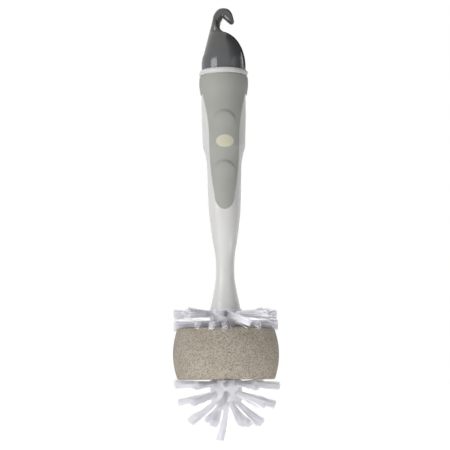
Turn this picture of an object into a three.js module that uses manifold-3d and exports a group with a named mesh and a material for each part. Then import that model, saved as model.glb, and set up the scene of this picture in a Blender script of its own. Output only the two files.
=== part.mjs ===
// Bottle brush: a moulded handle with a soft grip, a tufted head round a foam sleeve, and a hooked
// cap that pulls out of the handle with a small teat brush on it.
// Millimetres, +Z up along the brush. The front of the grip faces -Y and the hook opens to +X.
// The origin is the top of the hook's throat, where the brush hangs from a rail.

import * as THREE from 'three';
import { ParametricGeometry } from 'three/addons/geometries/ParametricGeometry.js';
import { mergeVertices } from 'three/addons/utils/BufferGeometryUtils.js';
import Module from 'manifold-3d';

const wasm = await Module();
wasm.setup();

// Fits and facets
const gap = 0.3; // clearance between pieces that seat in each other
const roundSides = 30; // sides of a turned surface
const farAside = 30; // reach of a cutter past the handle's surface

// Hook cap
const capRadius = 14.9;
const capBaseZ = -36.1;
const domeCentreZ = -33.2;
const domeHeight = 23;
const domeWall = 2.3;
const domeCrownWall = 2.9;
const domeEnd = THREE.MathUtils.degToRad(86); // where the dome ends at the throat
const rimShare = 0.12; // share of the dome's edge that is the upright rim
const tipRounding = 0.95;
const tipScale = 0.55; // size of the hook's end face against the section before it
const domeFullness = 2.4; // how long the dome stays round before it thins to the stem
const stemDepth = 5.2; // half thickness of the hook, front to back
const crownDepth = 4.6;
const tipDepth = 2.6;
const hookFlatness = 0.74; // 1 gives the hook an oval section, less flattens its faces
const hookSides = 24;

// Edges of the hook seen from the front, (x, z), by stretch: dome, stem, arm
const backEdges = [
  [
    [-14.9, capBaseZ],
    [-14.9, -31.2],
    [-14.4, -27.4],
    [-13.45, -24.6],
    [-12, -19.1],
    [-10.7, -14],
    [-9.6, -9.9],
  ],
  [
    [-9.6, -9.9],
    [-8.3, -5.3],
    [-7.25, -1],
    [-6.6, 1.8],
    [-5.1, 4.5],
    [-2.8, 6.45],
    [0.2, 7.05],
  ],
  [
    [0.2, 7.05],
    [3.2, 6.45],
    [5.5, 4.2],
    [6.75, 0.9],
    [7.5, -1.9],
  ],
];
const throatEdges = [
  [
    [-1, -9],
    [-1.85, -7.4],
    [-2.2, -5.5],
    [-1.75, -3.3],
    [-1, -1.6],
    [-0.5, -0.35],
    [0, 0],
  ],
  [
    [0, 0],
    [0.65, -0.25],
    [1.6, -1.15],
    [3, -2.55],
    [4.5, -3.9],
  ],
];

// Teat brush carried by the cap
const plugRadius = capRadius - domeWall - gap;
const plugWall = 1.8;
const plugTopZ = -31.4;
const plugFloorZ = -39.9;
const plugFootZ = -47.9;
const bossRadius = 4;
const bossFootZ = -53.9;
const wireRadius = 1.3; // two strands side by side
const wireWaist = 0.44; // share of the radius lost in the groove between the strands
const wirePitch = 7;
const wireTopZ = -42.9;
const wireFootZ = -119.4;
const wireSides = 8;
const wireStepsPerTurn = 6;
const brushRadius = 8;
const brushEndRadius = 5.2;
const brushTopZ = -68;
const brushShoulderZ = -105;
const brushFootZ = -117;
const brushSides = 20;

// Handle shell, with a collar round its mouth
const collarRadius = 16.5;
const collarHeight = 3.8;
const collarRound = 1.3; // how far the collar's outer face bulges
const collarTopZ = capBaseZ - gap;
const collarFootZ = collarTopZ - collarHeight;
const mouthRadius = plugRadius + gap;
const mouthChamfer = 0.5;
const shellWall = 2.7;
const tubeTopZ = -54; // the storage tube below the mouth
const tubeFootZ = -125;
const tubeDome = 3;
const shellFootZ = -196.5;
const shellOutline = new THREE.SplineCurve(
  [
    [10.2, shellFootZ],
    [8, -186.4],
    [6.4, -177],
    [6.15, -168],
    [6.75, -159.2],
    [8.35, -150.5],
    [9.75, -140],
    [10.75, -130.5],
    [11.15, -119],
    [11.6, -104],
    [12.05, -97.4],
    [13.3, -91.6],
    [14.4, -87.6],
    [14.7, -80],
    [15.05, -68],
    [15.15, -55],
    [15.15, collarFootZ - gap],
  ].map(([radius, z]) => new THREE.Vector2(radius, z)),
);
const shellRows = 28;
const socketRadius = 4.3;
const socketDepth = 19;

// Soft grip, moulded into a recess of the shell
const gripTopZ = collarFootZ - gap;
const bandRows = 5;
const tongueRows = 13;
const recessDepth = 1;
const bandFootZ = -52.8; // the band that runs all the way round
const bandCentreZ = -44.5;
const bandReach = 8.4;
const bandProud = 1.15; // how far the band swells over the tongue's level
const tongueProud = 0.15; // how far the tongue stands over the shell
const tongueEndZ = -131;
const tongueSide = [
  [14.3, bandFootZ],
  [13.4, -57.4],
  [12.2, -63.4],
  [10.9, -71.7],
  [10.2, -80.5],
  [10.05, -90],
  [9.5, -100.7],
  [8.35, -111.6],
  [6.85, -121],
];
const thumbRests = [
  { topZ: -65.3, radius: 8.5 },
  { topZ: -98.5, radius: 8 },
];
const thumbRestRise = 0.9; // step at a thumb rest's upper edge
const thumbRestFade = 1.6; // radii below that edge where the step has run out

// Head core and foam sleeve
const coreRadius = 10.6;
const coreTopZ = shellFootZ - gap;
const coreWaist = 9.2;
const sleeveTopZ = -209.4;
const sleeveBottomZ = -242.9;
const sleeveEndRadius = 32;
const sleeveBelly = 35;
const sleeveEdge = 1.6;
const spigotChamfer = 1;
const noseShoulderZ = -255.4;
const noseZ = -260;

// Bristle tufts, stapled into blind holes of the core
const tuftRoot = 1.6;
const tuftTip = 2.6;
const tuftSeat = 4.6; // depth of a tuft in its hole
const tuftSides = 8;
const tuftRings = [
  { name: 'top_tuft', count: 8, turn: -90, radius: coreRadius, z: -199.9, slope: 0, reach: 24.1 },
  { name: 'second_tuft', count: 8, turn: -90, radius: coreRadius, z: -206.1, slope: 0, reach: 24.2 },
  { name: 'lower_tuft', count: 8, turn: -90, radius: coreRadius, z: -245.8, slope: 0, reach: 24.2 },
  { name: 'hub_tuft', count: 8, turn: -90, radius: coreRadius, z: -252.6, slope: 16, reach: 22.6 },
  { name: 'nose_tuft', count: 8, turn: -67.5, radius: 8, z: -257.9, slope: 43, reach: 22.4 },
  { name: 'end_tuft', count: 1, turn: 0, radius: 0, z: noseZ, slope: 90, reach: 23.3 },
];

// Colours and finishes
const whitePlastic = { color: 0xd9d9d7, roughness: 0.32, metalness: 0 };
const greyRubber = { color: 0xa2a39c, roughness: 0.72, metalness: 0 };
const smokePlastic = { color: 0x55585a, roughness: 0.12, metalness: 0, transparent: true, opacity: 0.85 };
const corePlastic = { color: 0xd6d6da, roughness: 0.35, metalness: 0 };
const foam = { color: 0xa2988b, roughness: 0.95, metalness: 0 };
const nylon = { color: 0xd6d5da, roughness: 0.4, metalness: 0 };
const steel = { color: 0xb8babb, roughness: 0.25, metalness: 1 };

// A geometry as a solid that can be joined and cut.
function solidOf(geometry) {
  const bare = geometry.clone();
  bare.deleteAttribute('normal');
  bare.deleteAttribute('uv');
  const merged = mergeVertices(bare, 1e-4);
  return new wasm.Manifold(
    new wasm.Mesh({
      numProp: 3,
      vertProperties: merged.attributes.position.array,
      triVerts: new Uint32Array(merged.index.array),
    }),
  );
}

// A solid back as a geometry.
function geometryOf(solid) {
  const { vertProperties, triVerts } = solid.getMesh();
  const geometry = new THREE.BufferGeometry();
  geometry.setAttribute('position', new THREE.BufferAttribute(new Float32Array(vertProperties), 3));
  geometry.setIndex(new THREE.BufferAttribute(new Uint32Array(triVerts), 1));
  geometry.computeVertexNormals();
  return geometry;
}

// A profile of (radius, z) points turned round the brush's axis.
function turned(profile, sides = roundSides) {
  return new THREE.LatheGeometry(profile, sides).rotateX(Math.PI / 2);
}

function middleOf(points) {
  return points.reduce((sum, point) => sum.add(point), new THREE.Vector3()).divideScalar(points.length);
}

// A closed skin through rings of equal point count, with a flat fan over each end.
function loft(rings) {
  const sides = rings[0].length;
  const fan = (ring) => ring.map(() => middleOf(ring));
  const stations = [fan(rings[0]), ...rings, fan(rings.at(-1))];
  const skin = (u, v, target) => {
    const station = stations[Math.round(v * (stations.length - 1))];
    target.copy(station[Math.round(u * sides) % sides]);
  };
  return new ParametricGeometry(skin, sides, stations.length - 1);
}

function named(name, geometry, finish) {
  const mesh = new THREE.Mesh(geometry, new THREE.MeshStandardMaterial(finish));
  mesh.name = name;
  return mesh;
}

const at = (x, y) => new THREE.Vector2(x, y);
const { lerp, degToRad } = THREE.MathUtils;

// The shell's outer radius at a height, found on its outline.
function shellRadius(z) {
  let low = 0;
  let high = 1;
  for (let step = 0; step < 30; step++) {
    const middle = (low + high) / 2;
    if (shellOutline.getPoint(middle).y < z) low = middle;
    else high = middle;
  }
  return shellOutline.getPoint(low).x;
}

// How far the grip stands over the shell: level on the tongue, swelling at the band.
function gripProud(z) {
  const away = (z - bandCentreZ) / bandReach;
  return tongueProud + bandProud * Math.max(0, 1 - away ** 2);
}

// Heights from one level to another in equal steps, both ends included.
function levels(from, to, steps) {
  return Array.from({ length: steps + 1 }, (_, step) => lerp(from, to, step / steps));
}

// A smooth curve through (x, z) points.
const curveThrough = (points) => new THREE.SplineCurve(points.map(([x, z]) => at(x, z)));
const backCurves = backEdges.map(curveThrough);
const throatCurves = throatEdges.map(curveThrough);

// The hook's front edge, from the cap's foot over the dome and round the throat to the tip.
function throatEdge(stretch, share) {
  if (stretch > 0) return throatCurves[stretch - 1].getPoint(share);
  if (share < rimShare) return at(capRadius, lerp(capBaseZ, domeCentreZ, share / rimShare));
  const angle = lerp(0, domeEnd, (share - rimShare) / (1 - rimShare));
  const onDome = at(capRadius * Math.cos(angle), domeCentreZ + domeHeight * Math.sin(angle));
  return share < 1 ? onDome : throatCurves[0].getPoint(0);
}

// Half the hook's thickness, front to back: round at the foot, thin at the tip.
function hookDepth(stretch, share) {
  if (stretch === 0) return lerp(stemDepth, capRadius, Math.sqrt(1 - share ** domeFullness));
  return stretch === 1 ? lerp(stemDepth, crownDepth, share) : lerp(crownDepth, tipDepth, share);
}

// One section of the hook cap: a rounded outline that spans the two edges.
function hookRing(back, front, depth, flatness) {
  const middle = back.clone().add(front).multiplyScalar(0.5);
  const half = front.clone().sub(middle);
  const swell = (value) => Math.sign(value) * Math.abs(value) ** flatness;
  return Array.from({ length: hookSides }, (_, side) => {
    const angle = (side / hookSides) * 2 * Math.PI;
    const across = half.clone().multiplyScalar(swell(Math.cos(angle))).add(middle);
    return new THREE.Vector3(across.x, depth * swell(Math.sin(angle)), across.y);
  });
}

// Smoke-tinted cap: a hollow dome that flows into the hook.
function hookCap() {
  const stepsOfStretch = [9, 6, 6];
  const rings = stepsOfStretch.flatMap((steps, stretch) =>
    levels(0, 1, steps)
      .slice(stretch === 0 ? 0 : 1)
      .map((share) => {
        const flatness = stretch === 0 ? lerp(1, hookFlatness, share) : hookFlatness;
        const depth = hookDepth(stretch, share);
        return hookRing(backCurves[stretch].getPoint(share), throatEdge(stretch, share), depth, flatness);
      }),
  );
  const tip = rings.at(-1);
  const tipMiddle = middleOf(tip);
  const chord = backCurves[2].getPoint(1).sub(throatCurves[1].getPoint(1)).normalize();
  const onward = new THREE.Vector3(chord.y, 0, -chord.x).multiplyScalar(tipRounding);
  rings.push(tip.map((point) => tipMiddle.clone().lerp(point, tipScale).add(onward)));

  const hollowRadius = capRadius - domeWall;
  const hollowRise = domeHeight - domeCrownWall;
  const hollowTop = new THREE.EllipseCurve(0, domeCentreZ, hollowRadius, hollowRise, 0, Math.PI / 2);
  const hollow = turned([at(0, capBaseZ - 1), at(hollowRadius, capBaseZ - 1), ...hollowTop.getPoints(6)]);
  return named('hook_cap', geometryOf(solidOf(loft(rings)).subtract(solidOf(hollow))), smokePlastic);
}

// Outline of the grip seen from the front, grown by a margin: a band with a tongue below it.
function gripOutline(margin) {
  const outline = new THREE.Shape();
  const side = tongueSide.map(([x, z]) => at(x + margin, z));
  const mirrored = side.map((point) => at(-point.x, point.y)).reverse();
  const end = side.at(-1);
  outline.moveTo(farAside, gripTopZ + margin);
  outline.lineTo(farAside, bandFootZ - margin);
  outline.lineTo(side[0].x, bandFootZ - margin);
  outline.splineThru(side.slice(1));
  outline.absellipse(0, end.y, end.x, end.y - tongueEndZ + margin, 0, -Math.PI, true);
  outline.splineThru(mirrored.slice(1, -1).concat(at(-side[0].x, bandFootZ - margin)));
  outline.lineTo(-farAside, bandFootZ - margin);
  outline.lineTo(-farAside, gripTopZ + margin);
  return outline;
}

// An outline in the XZ plane pushed forwards from the axis.
function pushedForwards(outline, curveSegments) {
  const settings = { depth: farAside, bevelEnabled: false, curveSegments };
  return solidOf(new THREE.ExtrudeGeometry(outline, settings).rotateX(Math.PI / 2));
}

// Everything that the grip may fill: the front outline pushed forwards, and the band behind.
function gripMask(margin) {
  const overlap = 1;
  const bandHeight = gripTopZ - bandFootZ + 2 * margin;
  const band = new THREE.BoxGeometry(2 * farAside, farAside + overlap, bandHeight);
  band.translate(0, (farAside - overlap) / 2, (gripTopZ + bandFootZ) / 2);
  return pushedForwards(gripOutline(margin), 5).add(solidOf(band));
}

// Heights for the rows of the grip, from the tongue's end to the top of the band.
function gripLevels() {
  const ofTongue = levels(tongueEndZ, bandFootZ, tongueRows);
  return ofTongue.concat(levels(bandFootZ, gripTopZ, bandRows).slice(1));
}

// A turned layer that follows the shell between two offsets from its surface.
function shellLayer(zs, inner, outer) {
  const outside = zs.map((z) => at(shellRadius(z) + outer(z), z));
  const inside = zs.map((z) => at(shellRadius(z) + inner(z), z)).reverse();
  return solidOf(turned([...outside, ...inside, outside[0]]));
}

// Two-shot white handle: a storage tube above, a slim waist and a flared foot that takes the head.
function handleShell() {
  const rows = levels(shellFootZ, gripTopZ, shellRows).map((z) => at(shellRadius(z), z));
  const collar = new THREE.EllipseCurve(
    collarRadius - collarRound,
    (collarTopZ + collarFootZ) / 2,
    collarRound,
    collarHeight / 2,
    -Math.PI / 2,
    Math.PI / 2,
  );
  const tube = levels(tubeTopZ, tubeFootZ, 8).map((z) => at(shellRadius(z) - shellWall, z));
  const profile = [
    at(0, shellFootZ + socketDepth),
    at(socketRadius, shellFootZ + socketDepth),
    at(socketRadius, shellFootZ),
    ...rows,
    ...collar.getPoints(8),
    at(mouthRadius + mouthChamfer, collarTopZ),
    at(mouthRadius, collarTopZ - mouthChamfer),
    at(mouthRadius, plugFootZ - 1),
    ...tube,
    at(0, tubeFootZ - tubeDome),
  ];
  const recessRows = [tongueEndZ - 2 * gap, ...gripLevels(), collarFootZ];
  const recess = shellLayer(recessRows, () => -recessDepth, () => farAside / 2).intersect(gripMask(gap));
  return named('handle_shell', geometryOf(solidOf(turned(profile)).subtract(recess)), whitePlastic);
}

// A thumb rest: a disc seen from the front that rises to a step at its upper edge.
function thumbRest({ topZ, radius }) {
  const outline = new THREE.Shape().absarc(0, topZ - radius, radius, 0, 2 * Math.PI);
  const rise = (z) => gripProud(z) + thumbRestRise * (1 - (topZ - z) / (thumbRestFade * radius));
  const zs = levels(topZ - thumbRestFade * radius, topZ + 1, 5);
  return shellLayer(zs, () => 0, rise).intersect(pushedForwards(outline, 10));
}

// Soft grey grip: the band and tongue that fill the shell's recess, with two thumb rests.
function softGrip() {
  const skin = shellLayer(gripLevels(), () => gap - recessDepth, gripProud);
  const raised = thumbRests.reduce((sum, rest) => sum.add(thumbRest(rest)), skin);
  return named('soft_grip', geometryOf(raised.intersect(gripMask(0))), greyRubber);
}

// Where a tuft of a ring sits: at the core's surface, turned round the axis and sloping down.
function tuftPlace({ count, turn, radius, z, slope }, index) {
  const place = new THREE.Group();
  const aim = new THREE.Group();
  place.rotation.z = degToRad(turn + (360 / count) * index);
  aim.position.set(radius, 0, z);
  aim.rotation.y = degToRad(slope);
  place.add(aim);
  place.updateMatrixWorld(true);
  return { place, aim };
}

// A rod along +X from the bottom of a tuft's hole, widening to its far end.
function rod(rootRadius, endRadius, from, to) {
  const length = to - from;
  const geometry = new THREE.CylinderGeometry(endRadius, rootRadius, length, tuftSides);
  return geometry.rotateZ(-Math.PI / 2).translate(from + length / 2, 0, 0);
}

// Every tuft of a ring as its own piece.
function tufts(ring) {
  return Array.from({ length: ring.count }, (_, index) => {
    const { place, aim } = tuftPlace(ring, index);
    const name = ring.count === 1 ? ring.name : `${ring.name}_${index + 1}`;
    aim.add(named(name, rod(tuftRoot, tuftTip, -tuftSeat, ring.reach), nylon));
    return place;
  });
}

// Moulded core of the head: a spigot for the handle, two flanges with tuft holes and a round nose.
function headCore() {
  const nose = new THREE.EllipseCurve(0, noseShoulderZ, coreRadius, noseShoulderZ - noseZ, -Math.PI / 2, 0);
  const spigotTopZ = shellFootZ + socketDepth - gap;
  const profile = [
    ...nose.getPoints(6),
    at(coreRadius, sleeveBottomZ - gap),
    at(coreWaist, sleeveBottomZ - gap),
    at(coreWaist, sleeveTopZ + gap),
    at(coreRadius, sleeveTopZ + gap),
    at(coreRadius, coreTopZ),
    at(socketRadius - gap, coreTopZ),
    at(socketRadius - gap, spigotTopZ - spigotChamfer),
    at(socketRadius - gap - spigotChamfer, spigotTopZ),
    at(0, spigotTopZ),
  ];
  const holes = tuftRings.flatMap((ring) =>
    Array.from({ length: ring.count }, (_, index) => {
      const cutter = rod(tuftRoot + gap, tuftRoot + gap, -tuftSeat - gap, tuftSeat);
      return solidOf(cutter.applyMatrix4(tuftPlace(ring, index).aim.matrixWorld));
    }),
  );
  const drilled = holes.reduce((core, hole) => core.subtract(hole), solidOf(turned(profile)));
  return named('head_core', geometryOf(drilled), corePlastic);
}

// Barrel of open-cell foam that slips over the core between the flanges.
function foamSleeve() {
  const middleZ = (sleeveTopZ + sleeveBottomZ) / 2;
  const halfHeight = (sleeveTopZ - sleeveBottomZ) / 2;
  const bore = coreWaist + gap;
  const belly = levels(sleeveBottomZ + sleeveEdge, sleeveTopZ - sleeveEdge, 8).map((z) => {
    const away = (z - middleZ) / halfHeight;
    return at(lerp(sleeveBelly, sleeveEndRadius, away ** 2), z);
  });
  const profile = [
    at(bore, sleeveBottomZ),
    at(sleeveEndRadius - sleeveEdge, sleeveBottomZ),
    ...belly,
    at(sleeveEndRadius - sleeveEdge, sleeveTopZ),
    at(bore, sleeveTopZ),
    at(bore, sleeveBottomZ),
  ];
  return named('foam_sleeve', turned(profile), foam);
}

// Plug that joins the cap to the handle's mouth: two rims, a floor and a boss that grips the wire.
function teatPlug() {
  const bore = wireRadius + gap;
  const inner = plugRadius - plugWall;
  const profile = [
    at(0, wireTopZ + gap),
    at(bore, wireTopZ + gap),
    at(bore, bossFootZ),
    at(bossRadius - gap, bossFootZ),
    at(bossRadius, plugFloorZ - plugWall),
    at(inner, plugFloorZ - plugWall),
    at(inner, plugFootZ),
    at(plugRadius, plugFootZ),
    at(plugRadius, plugTopZ),
    at(inner, plugTopZ),
    at(inner, plugFloorZ),
    at(0, plugFloorZ),
  ];
  return named('teat_plug', turned(profile), smokePlastic);
}

// Steel wire folded double and twisted: a two-lobed section that turns as it goes down.
function teatWire() {
  const steps = Math.round(((wireTopZ - wireFootZ) / wirePitch) * wireStepsPerTurn);
  const rings = levels(wireFootZ, wireTopZ, steps).map((z) => {
    const twist = (z / wirePitch) * 2 * Math.PI;
    return Array.from({ length: wireSides }, (_, side) => {
      const angle = (side / wireSides) * 2 * Math.PI;
      const radius = wireRadius * (1 - wireWaist * Math.sin(angle) ** 2);
      return new THREE.Vector3(radius * Math.cos(angle + twist), radius * Math.sin(angle + twist), z);
    });
  });
  return named('teat_wire', loft(rings), steel);
}

// Envelope of the small brush's nylon, round the wire.
function teatBristles() {
  const bore = wireRadius + gap;
  const taper = brushRadius - brushEndRadius;
  const length = brushShoulderZ - brushFootZ;
  const end = new THREE.EllipseCurve(brushEndRadius, brushShoulderZ, taper, length, -Math.PI / 2, 0);
  const profile = [
    at(bore, brushFootZ),
    ...end.getPoints(5),
    at(brushRadius, brushTopZ),
    at(bore, brushTopZ),
    at(bore, brushFootZ),
  ];
  return named('teat_bristles', turned(profile, brushSides), nylon);
}

const handle = new THREE.Group();
handle.add(handleShell(), softGrip());

const head = new THREE.Group();
head.add(headCore(), foamSleeve(), ...tuftRings.flatMap(tufts));

const cap = new THREE.Group();
cap.add(hookCap(), teatPlug(), teatWire(), teatBristles());

const bottleBrush = new THREE.Group();
bottleBrush.add(handle, head, cap);

export default bottleBrush;
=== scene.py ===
import math

import bpy
import numpy as np
from mathutils import Matrix, Vector


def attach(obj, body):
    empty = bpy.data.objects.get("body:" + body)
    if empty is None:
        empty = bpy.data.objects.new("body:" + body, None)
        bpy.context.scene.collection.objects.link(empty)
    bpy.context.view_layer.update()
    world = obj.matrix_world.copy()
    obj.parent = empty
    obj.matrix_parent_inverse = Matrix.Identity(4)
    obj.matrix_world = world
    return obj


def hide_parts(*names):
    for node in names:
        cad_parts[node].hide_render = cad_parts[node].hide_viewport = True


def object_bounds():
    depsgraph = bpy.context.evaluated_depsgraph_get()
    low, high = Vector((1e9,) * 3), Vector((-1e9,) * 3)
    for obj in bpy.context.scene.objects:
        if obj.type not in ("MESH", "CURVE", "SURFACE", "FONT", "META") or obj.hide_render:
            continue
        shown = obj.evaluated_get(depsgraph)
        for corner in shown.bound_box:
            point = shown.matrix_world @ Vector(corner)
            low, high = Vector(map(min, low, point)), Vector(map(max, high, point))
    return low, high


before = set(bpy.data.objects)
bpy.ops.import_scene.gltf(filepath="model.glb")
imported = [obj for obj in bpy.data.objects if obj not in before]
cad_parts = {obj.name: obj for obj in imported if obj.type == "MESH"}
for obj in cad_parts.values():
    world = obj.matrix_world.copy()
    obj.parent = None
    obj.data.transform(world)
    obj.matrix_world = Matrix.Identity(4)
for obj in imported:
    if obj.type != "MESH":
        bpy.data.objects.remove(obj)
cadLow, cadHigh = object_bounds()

# Lengths below are millimetres in the frame's own axes: +Z up the brush, the grip faces -Y.
mm = 0.001
tiny = 1e-9  # the least length that is divided by
steep = 0.9  # a direction whose z passes this counts as upright
white = (1, 1, 1, 1)
scene = bpy.context.scene
scene.view_settings.view_transform = "Standard"
print("frame loaded")


# Shared tools

# A colour written as six hex digits of sRGB, as linear light.
def shade(code):
    channels = np.array([int(code[i : i + 2], 16) for i in (0, 2, 4)]) / 255
    linear = np.where(channels <= 0.04045, channels / 12.92, ((channels + 0.055) / 1.055) ** 2.4)
    return (*linear.tolist(), 1.0)


# A pattern's scale from the size of its features in millimetres: how many of them go into a metre.
def perMetre(size):
    return 1 / (size * mm)


# Sets a node's sockets: plain values directly, and sockets of other nodes by a link.
def setInputs(tree, node, inputs):
    for name, value in inputs.items():
        if isinstance(value, bpy.types.NodeSocket):
            tree.links.new(value, node.inputs[name])
        else:
            node.inputs[name].default_value = value


# Adds one node with its settings and links.
def addNode(tree, kind, inputs=(), **settings):
    node = tree.nodes.new("ShaderNode" + kind)
    for name, value in settings.items():
        setattr(node, name, value)
    setInputs(tree, node, dict(inputs))
    return node


# A new material, its node tree and its Principled shader.
def newMaterial(name):
    material = bpy.data.materials.new(name)
    material.use_nodes = True
    tree = material.node_tree
    return material, tree, tree.nodes["Principled BSDF"]


# Steps from -1 to 1 that lie closer together at both ends: a straight ramp blended with a sine.
def easedSteps(count, sineShare=0.4):
    ramp = np.linspace(-1, 1, count)
    return (1 - sineShare) * ramp + sineShare * np.sin(ramp * np.pi / 2)


# Goes smoothly from 0 to 1 as the value goes from low to high.
def smoothStep(value, low, high):
    share = np.clip((value - low) / (high - low), 0, 1)
    return share * share * (3 - 2 * share)


# The parabola that leaves its start towards the knee and comes from there to its end.
def parabola(start, knee, end, share):
    return (1 - share) ** 2 * start + 2 * share * (1 - share) * knee + share**2 * end


# A curve through knots: on each span, the cubic whose end slopes are half the step between the
# knots on either side.
def curveThrough(knots, samples):
    knots = np.asarray(knots, float)
    place = np.linspace(0, len(knots) - 1, samples)
    index = np.minimum(place.astype(int), len(knots) - 2)
    share = (place - index)[:, None]
    start, end = knots[index], knots[index + 1]
    startSlope = (end - knots[np.maximum(index - 1, 0)]) / 2
    endSlope = (knots[np.minimum(index + 2, len(knots) - 1)] - start) / 2
    cubic = 2 * start - 2 * end + startSlope + endSlope
    square = 3 * end - 3 * start - 2 * startSlope - endSlope
    return cubic * share**3 + square * share**2 + startSlope * share + start


# A path through corners of (radius, height, reach): each corner becomes a parabola that starts and
# ends at its reach along the two sides.
def roundedPath(corners, steps=6):
    corners = np.asarray(corners, float)
    spots, reach = corners[:, :2], corners[:, 2, None]
    towards = np.vstack([spots[:1], spots[:-1]]) - spots
    onwards = np.vstack([spots[1:], spots[-1:]]) - spots
    sides = []
    for way in (towards, onwards):
        length = np.maximum(np.linalg.norm(way, axis=1, keepdims=True), tiny)
        sides.append((spots + way / length * reach)[:, None])
    share = np.linspace(0, 1, steps)[None, :, None]
    return parabola(sides[0], spots[:, None], sides[1], share).reshape(-1, 2)


# A profile of (radius, height) rows turned round the brush's axis: x and y are the radius times the
# cosine and sine of the turn, z is the height.
def turned(profile, columns):
    turn = np.linspace(0, 2 * np.pi, columns, endpoint=False)
    radius, height = profile[:, 0, None], profile[:, 1, None]
    return np.stack([radius * np.cos(turn), radius * np.sin(turn), height + 0 * turn], axis=-1)


# Corner rows of a grid of points; the last column joins the first where the surface closes round.
def gridFaces(rows, columns, closed=True, offset=0):
    column = np.arange(columns if closed else columns - 1)
    here = offset + np.arange(rows - 1)[:, None] * columns
    left, right = here + column, here + (column + 1) % columns
    return np.stack([left, right, right + columns, left + columns], axis=-1).reshape(-1, 4)


# Joins points that coincide to a thousandth of a millimetre. A face that loses one corner by that
# becomes a triangle, and one that loses two is dropped.
def welded(points, faces, traits):
    keys = np.round(points * 1000).astype(np.int64)
    _, first, joined = np.unique(keys, axis=0, return_index=True, return_inverse=True)
    corners = joined.reshape(-1)[faces]
    pinched = corners == np.roll(corners, -1, axis=1)
    slim = pinched.sum(axis=1) == 1
    fours = corners[~pinched.any(axis=1)]
    threes = corners[slim][~pinched[slim]].reshape(-1, 3)
    return points[first], [fours, threes], {name: values[first] for name, values in traits.items()}


# A mesh from points and arrays of faces, one array for each number of corners. Its faces are turned
# outward by the sign of the volume that they enclose.
def meshOf(name, points, faces, traits=(), crease=40):
    fans = np.concatenate([f[:, [0, i, i + 1]] for f in faces for i in range(1, f.shape[1] - 1)])
    a, b, c = points[fans[:, 0]], points[fans[:, 1]], points[fans[:, 2]]
    if np.sum(a * np.cross(b, c)) < 0:
        faces = [face[:, ::-1] for face in faces]
    corners = np.concatenate([face.ravel() for face in faces])
    counts = np.concatenate([np.full(len(face), face.shape[1]) for face in faces])
    mesh = bpy.data.meshes.new(name)
    mesh.vertices.add(len(points))
    mesh.vertices.foreach_set("co", (points * mm).astype(np.float32).ravel())
    mesh.loops.add(len(corners))
    mesh.loops.foreach_set("vertex_index", corners.astype(np.int32))
    mesh.polygons.add(len(counts))
    mesh.polygons.foreach_set("loop_start", (np.cumsum(counts) - counts).astype(np.int32))
    mesh.update(calc_edges=True)
    mesh.shade_smooth()
    mesh.set_sharp_from_angle(angle=math.radians(crease))
    for trait, values in dict(traits).items():
        layer = mesh.attributes.new(trait, "FLOAT", "POINT")
        layer.data.foreach_set("value", values.astype(np.float32))
    return mesh


# A closed skin from one grid of points that goes round, joined where its ends meet or come to a point.
def skinOf(name, grid, traits=(), crease=40):
    rows, columns = grid.shape[:2]
    flat = {trait: values.reshape(-1) for trait, values in dict(traits).items()}
    points, faces, flat = welded(grid.reshape(-1, 3), gridFaces(rows, columns), flat)
    return meshOf(name, points, faces, flat, crease)


# Puts a mesh into the scene as a piece that rides on a body and stands for CAD nodes.
def addPiece(mesh, material, body, nodes):
    piece = bpy.data.objects.new(mesh.name, mesh)
    mesh.materials.append(material)
    scene.collection.objects.link(piece)
    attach(piece, body)
    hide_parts(*nodes)
    return piece


# Many thin rods in one mesh. Each follows the parabola from its root, out along its own direction,
# to its tip, and has a small regular polygon as section. Rods vary in a trait that the nylon reads.
def rodsMesh(name, roots, ways, tips, radius, rng, sides=5, spans=4):
    count = len(roots)
    reach = np.linalg.norm(tips - roots, axis=1, keepdims=True)
    knee = roots + ways * reach / 2
    share = np.linspace(0, 1, spans + 1)[None, :, None]
    path = parabola(roots[:, None], knee[:, None], tips[:, None], share)
    spare = np.where(np.abs(ways[:, 2:]) < steep, [[0.0, 0.0, 1.0]], [[1.0, 0.0, 0.0]])
    across = np.cross(ways, spare)
    across /= np.linalg.norm(across, axis=1, keepdims=True)
    upward = np.cross(ways, across)
    turn = np.linspace(0, 2 * np.pi, sides, endpoint=False)[:, None]
    section = np.cos(turn) * across[:, None] + np.sin(turn) * upward[:, None]
    points = path[:, :, None] + radius * section[:, None]
    each = (spans + 1) * sides
    start = np.arange(count)[:, None, None] * each
    walls = (start + gridFaces(spans + 1, sides)).reshape(-1, 4)
    rootEnds = (start[:, :, 0] + np.arange(sides)[::-1]).reshape(-1, sides)
    tipEnds = (start[:, :, 0] + spans * sides + np.arange(sides)).reshape(-1, sides)
    tone = np.repeat(rng.random(count), each)
    faces = [walls, np.concatenate([rootEnds, tipEnds])]
    return meshOf(name, points.reshape(-1, 3), faces, {"tone": tone})


# Camera and stage

# A long lens, a little under the brush's middle and looking up, as the photograph's ellipses show.
camera = {"lens": 116, "distance": 966.7, "rise": 6.2, "roll": -0.5, "aim": (0.07, 0, -140.45), "far": 60000}

eye = bpy.data.objects.new("camera", bpy.data.cameras.new("camera"))
eye.data.lens = camera["lens"]
eye.data.clip_end = camera["far"] * mm
scene.collection.objects.link(eye)
scene.camera = eye
lift = math.radians(camera["rise"])
gaze = Vector((0, math.cos(lift), math.sin(lift)))
eye.location = (Vector(camera["aim"]) - gaze * camera["distance"]) * mm
roll = Matrix.Rotation(math.radians(camera["roll"]), 3, "Z")
eye.rotation_euler = (gaze.to_track_quat("-Z", "Y").to_matrix() @ roll).to_euler()

# A white floor a little below the hanging brush. It takes the shadow, and a camera ray finds it as
# bright as the backdrop.
floorSetup = {"drop": 20, "half": 20000, "colour": "f2f2f0", "roughness": 0.9, "glow": 0.7}

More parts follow.
